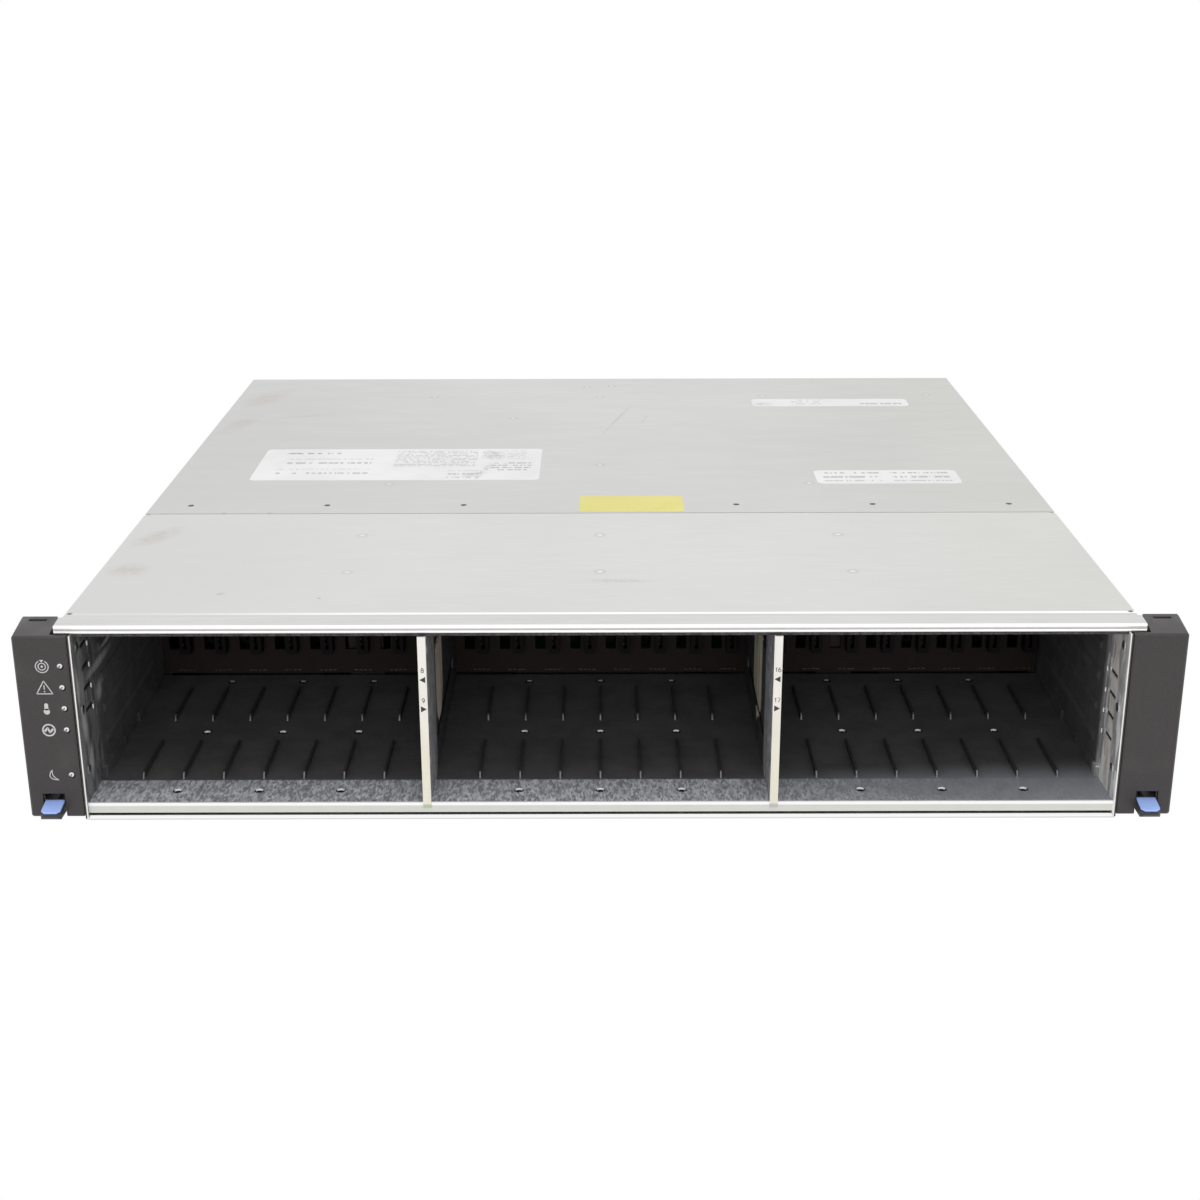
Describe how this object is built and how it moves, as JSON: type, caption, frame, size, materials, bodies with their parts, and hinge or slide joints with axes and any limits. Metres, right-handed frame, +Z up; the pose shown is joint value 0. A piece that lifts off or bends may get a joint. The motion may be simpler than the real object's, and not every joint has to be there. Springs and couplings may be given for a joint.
{
  "type": "disk shelf enclosure",
  "caption": "Rack-mount shelf for upright drives: bay cage, midplane, sliding power and I/O modules with cam levers, hinged end caps on rack ears.",
  "frame": {"origin": "middle of the flat base, between the rack ears", "axes": "+X across the shelf, to the right seen from the drive side; +Y from the drive side to the module side; +Z up"},
  "size_m": [0.4826, 0.4961, 0.0864],
  "materials": {
    "shell_steel": "galvanised sheet, satin",
    "cover_steel": "galvanised sheet, satin, with age marks",
    "rail_steel": "rolled sheet, satin",
    "cage_steel": "galvanised sheet, spangled",
    "ear_steel": "galvanised sheet, satin",
    "fastener_steel": "plated",
    "module_steel": "galvanised sheet, satin",
    "cap_plastic": "moulded, fine grain",
    "latch_plastic": "moulded",
    "pad_plastic": "moulded, blue",
    "light_pipe": "clear moulding",
    "strip_plastic": "printed strip",
    "circuit_board": "solder mask",
    "connector_plastic": "moulded",
    "fan_plastic": "moulded",
    "lever_plastic": "moulded, blue",
    "inlet_plastic": "moulded",
    "port_steel": "tinned"
  },
  "bodies": {
    "shelf": {"chassis_shell": "shell_steel", "front_top_panel": "cover_steel", "rear_top_cover": "cover_steel", "top_front_rail": "rail_steel", "cover_screws": "fastener_steel", "chassis_rivets": "fastener_steel", "drive_cage_floor": "cage_steel", "drive_cage_ceiling": "cage_steel", "left_cage_wall": "cage_steel", "right_cage_wall": "cage_steel", "left_bay_divider": "cage_steel", "right_bay_divider": "cage_steel", "left_divider_strip": "strip_plastic", "right_divider_strip": "strip_plastic", "midplane_board": "circuit_board", "drive_connectors": "connector_plastic", "module_connectors": "connector_plastic", "midplane_carrier": "shell_steel", "module_shelf": "shell_steel", "left_module_wall": "shell_steel", "right_module_wall": "shell_steel", "left_rack_flange": "ear_steel", "right_rack_flange": "ear_steel", "status_led_board": "circuit_board"},
    "left_cap": {"left_end_cap": "cap_plastic", "status_light_pipes": "light_pipe"},
    "right_cap": {"right_end_cap": "cap_plastic"},
    "left_latch": {"left_cap_latch": "latch_plastic", "left_latch_pad": "pad_plastic"},
    "right_latch": {"right_cap_latch": "latch_plastic", "right_latch_pad": "pad_plastic"},
    "left_power_module": {"left_power_case": "module_steel", "left_power_cover": "module_steel", "left_power_board": "circuit_board", "left_power_fan_frames": "fan_plastic", "left_power_inlet": "inlet_plastic"},
    "left_fan_a": {"left_power_fan_a": "fan_plastic"},
    "left_fan_b": {"left_power_fan_b": "fan_plastic"},
    "left_power_rocker": {"left_power_switch": "inlet_plastic"},
    "left_power_cam": {"left_power_lever": "lever_plastic"},
    "right_power_module": {"right_power_case": "module_steel", "right_power_cover": "module_steel", "right_power_board": "circuit_board", "right_power_fan_frames": "fan_plastic", "right_power_inlet": "inlet_plastic"},
    "right_fan_a": {"right_power_fan_a": "fan_plastic"},
    "right_fan_b": {"right_power_fan_b": "fan_plastic"},
    "right_power_rocker": {"right_power_switch": "inlet_plastic"},
    "right_power_cam": {"right_power_lever": "lever_plastic"},
    "lower_io_module": {"lower_io_case": "module_steel", "lower_io_board": "circuit_board", "lower_io_ports": "port_steel"},
    "lower_io_cam_left": {"lower_io_lever_left": "lever_plastic"},
    "lower_io_cam_right": {"lower_io_lever_right": "lever_plastic"},
    "upper_io_module": {"upper_io_case": "module_steel", "upper_io_board": "circuit_board", "upper_io_ports": "port_steel"},
    "upper_io_cam_left": {"upper_io_lever_left": "lever_plastic"},
    "upper_io_cam_right": {"upper_io_lever_right": "lever_plastic"}
  },
  "joints": [
    {"name": "left_cap_swing", "type": "hinge", "parent": "shelf", "child": "left_cap", "pos_m": [-0.2331, -0.2078, 0.0827], "axis": [-1, 0, 0], "range_deg": [0, 12]},
    {"name": "left_latch_lift", "type": "hinge", "parent": "left_cap", "child": "left_latch", "pos_m": [-0.2305, -0.214, 0.0074], "axis": [-1, 0, 0], "range_deg": [0, 5], "stiffness_Nm_per_rad": 0.05, "springref_deg": -5.73},
    {"name": "right_cap_swing", "type": "hinge", "parent": "shelf", "child": "right_cap", "pos_m": [0.2331, -0.2078, 0.0827], "axis": [-1, 0, 0], "range_deg": [0, 12]},
    {"name": "right_latch_lift", "type": "hinge", "parent": "right_cap", "child": "right_latch", "pos_m": [0.2305, -0.214, 0.0074], "axis": [-1, 0, 0], "range_deg": [0, 5], "stiffness_Nm_per_rad": 0.05, "springref_deg": -5.73},
    {"name": "left_power_slide", "type": "slide", "parent": "shelf", "child": "left_power_module", "axis": [0, 1, 0], "range_m": [0, 0.285]},
    {"name": "left_fan_a_spin", "type": "hinge", "parent": "left_power_module", "child": "left_fan_a", "pos_m": [-0.18205, 0.213, 0.0615], "axis": [0, 1, 0], "continuous": true},
    {"name": "left_fan_b_spin", "type": "hinge", "parent": "left_power_module", "child": "left_fan_b", "pos_m": [-0.14105, 0.213, 0.0615], "axis": [0, 1, 0], "continuous": true},
    {"name": "left_power_switch_rock", "type": "hinge", "parent": "left_power_module", "child": "left_power_rocker", "pos_m": [-0.13695, 0.2261, 0.021], "axis": [-1, 0, 0], "range_deg": [0, 13]},
    {"name": "left_power_lever_swing", "type": "hinge", "parent": "left_power_module", "child": "left_power_cam", "pos_m": [-0.2105, 0.2416, 0.0115], "axis": [-1, 0, 0], "range_deg": [0, 75]},
    {"name": "right_power_slide", "type": "slide", "parent": "shelf", "child": "right_power_module", "axis": [0, 1, 0], "range_m": [0, 0.285]},
    {"name": "right_fan_a_spin", "type": "hinge", "parent": "right_power_module", "child": "right_fan_a", "pos_m": [0.15305, 0.213, 0.0615], "axis": [0, 1, 0], "continuous": true},
    {"name": "right_fan_b_spin", "type": "hinge", "parent": "right_power_module", "child": "right_fan_b", "pos_m": [0.19405, 0.213, 0.0615], "axis": [0, 1, 0], "continuous": true},
    {"name": "right_power_switch_rock", "type": "hinge", "parent": "right_power_module", "child": "right_power_rocker", "pos_m": [0.19815, 0.2261, 0.021], "axis": [-1, 0, 0], "range_deg": [0, 13]},
    {"name": "right_power_lever_swing", "type": "hinge", "parent": "right_power_module", "child": "right_power_cam", "pos_m": [0.1246, 0.2416, 0.0115], "axis": [-1, 0, 0], "range_deg": [0, 75]},
    {"name": "lower_io_slide", "type": "slide", "parent": "shelf", "child": "lower_io_module", "axis": [0, 1, 0], "range_m": [0, 0.285]},
    {"name": "lower_io_lever_left_swing", "type": "hinge", "parent": "lower_io_module", "child": "lower_io_cam_left", "pos_m": [-0.104, 0.2356, 0.0305], "axis": [0, 0, 1], "range_deg": [0, 70]},
    {"name": "lower_io_lever_right_swing", "type": "hinge", "parent": "lower_io_module", "child": "lower_io_cam_right", "pos_m": [0.104, 0.2356, 0.0305], "axis": [0, 0, -1], "range_deg": [0, 70]},
    {"name": "upper_io_slide", "type": "slide", "parent": "shelf", "child": "upper_io_module", "axis": [0, 1, 0], "range_m": [0, 0.285]},
    {"name": "upper_io_lever_left_swing", "type": "hinge", "parent": "upper_io_module", "child": "upper_io_cam_left", "pos_m": [-0.104, 0.2356, 0.0726], "axis": [0, 0, 1], "range_deg": [0, 70]},
    {"name": "upper_io_lever_right_swing", "type": "hinge", "parent": "upper_io_module", "child": "upper_io_cam_right", "pos_m": [0.104, 0.2356, 0.0726], "axis": [0, 0, -1], "range_deg": [0, 70]}
  ]
}
